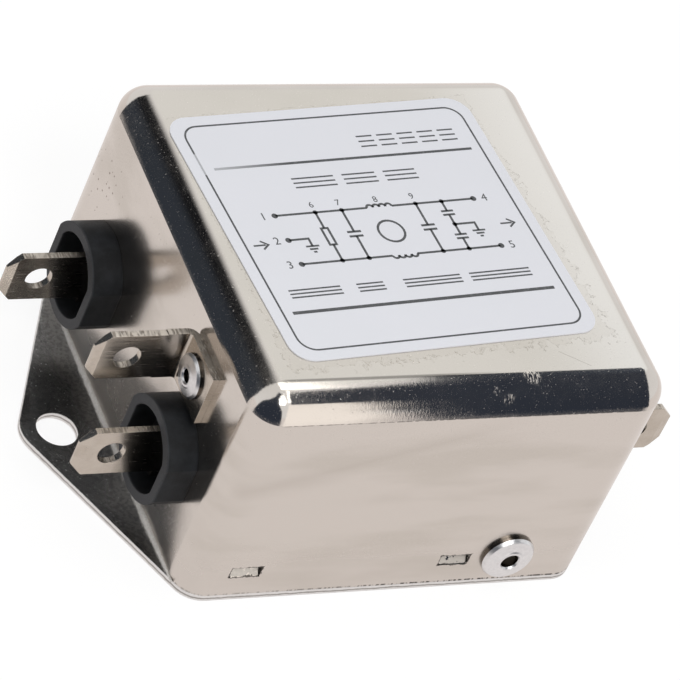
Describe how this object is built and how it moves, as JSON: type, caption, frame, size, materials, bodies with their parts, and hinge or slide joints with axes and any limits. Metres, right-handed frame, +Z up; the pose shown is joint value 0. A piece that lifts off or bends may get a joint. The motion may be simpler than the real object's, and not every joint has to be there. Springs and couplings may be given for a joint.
{
  "type": "emi line filter",
  "caption": "Chassis-mount mains filter in a drawn nickel-plated can with two fixing ears, push-on blade terminals in black bushings and a bent ground tab.",
  "frame": {"origin": "centre of the base plate's underside", "axes": "+X from the line end to the load end, the long side with the case rivet faces -Y, +Z up from the mounting surface"},
  "size_m": [0.0722, 0.0495, 0.0309],
  "materials": {
    "nickel_case": "bright nickel plate on drawn steel",
    "nickel_tab": "satin plate on brass strip",
    "rivet_aluminium": "satin",
    "rivet_steel": "dull",
    "bushing_black": "fine matt",
    "label_film": "satin film with dark grey print",
    "liner_sheet": "matt",
    "filling_resin": "dull cured resin",
    "ferrite": "coated",
    "divider_nylon": "matt",
    "copper_enamel": "clear enamel",
    "film_cap_yellow": "gloss",
    "disc_cap_blue": "semi-gloss coat",
    "resistor_tan": "lacquer",
    "lead_brown": "smooth",
    "lead_blue": "smooth",
    "lead_green_yellow": "smooth"
  },
  "bodies": {
    "root": {"base_plate": "nickel_case", "can": "nickel_case", "label": "label_film", "bushing_line_live": "bushing_black", "bushing_line_neutral": "bushing_black", "bushing_load_live": "bushing_black", "bushing_load_neutral": "bushing_black", "blade_line_live": "nickel_tab", "blade_line_neutral": "nickel_tab", "blade_load_live": "nickel_tab", "blade_load_neutral": "nickel_tab", "ground_tab": "nickel_tab", "ground_rivet": "rivet_aluminium", "ground_rivet_stem": "rivet_steel", "ground_lug": "nickel_tab", "case_rivet": "rivet_aluminium", "case_rivet_stem": "rivet_steel", "insulating_liner": "liner_sheet", "potting": "filling_resin", "choke_core": "ferrite", "choke_divider": "divider_nylon", "winding_live": "copper_enamel", "winding_neutral": "copper_enamel", "x_capacitor_line": "film_cap_yellow", "x_capacitor_load": "film_cap_yellow", "y_capacitor_live": "disc_cap_blue", "y_capacitor_neutral": "disc_cap_blue", "bleed_resistor": "resistor_tan", "lead_line_live": "lead_brown", "lead_line_neutral": "lead_blue", "lead_load_live": "lead_brown", "lead_load_neutral": "lead_blue", "lead_ground": "lead_green_yellow"}
  },
  "joints": []
}
